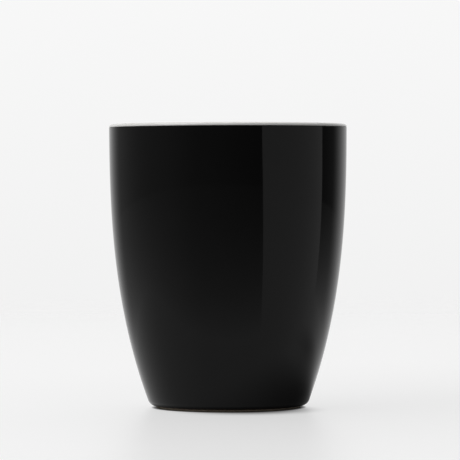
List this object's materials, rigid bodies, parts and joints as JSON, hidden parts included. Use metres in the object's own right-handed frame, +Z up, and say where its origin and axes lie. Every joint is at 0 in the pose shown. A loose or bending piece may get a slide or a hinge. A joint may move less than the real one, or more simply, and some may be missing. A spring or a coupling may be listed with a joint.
{
  "type": "handleless mug",
  "caption": "Tapered round stoneware mug without a handle, black gloss outside, white gloss inside and over the rounded lip, standing on a bare foot ring.",
  "frame": {"origin": "centre of the foot ring, on the surface that the mug stands on", "axes": "+Z up along the mug's axis; the mug is round, so X and Y are free, and +Y is away from the camera in the picture"},
  "size_m": [0.0838, 0.0838, 0.1],
  "materials": {
    "bare_stoneware": "matte, unglazed",
    "white_gloss_glaze": "gloss",
    "black_gloss_glaze": "gloss",
    "black_base_glaze": "gloss"
  },
  "bodies": {
    "root": {"clay_body": "bare_stoneware", "liner_glaze": "white_gloss_glaze", "outer_glaze": "black_gloss_glaze", "base_glaze": "black_base_glaze"}
  },
  "joints": []
}
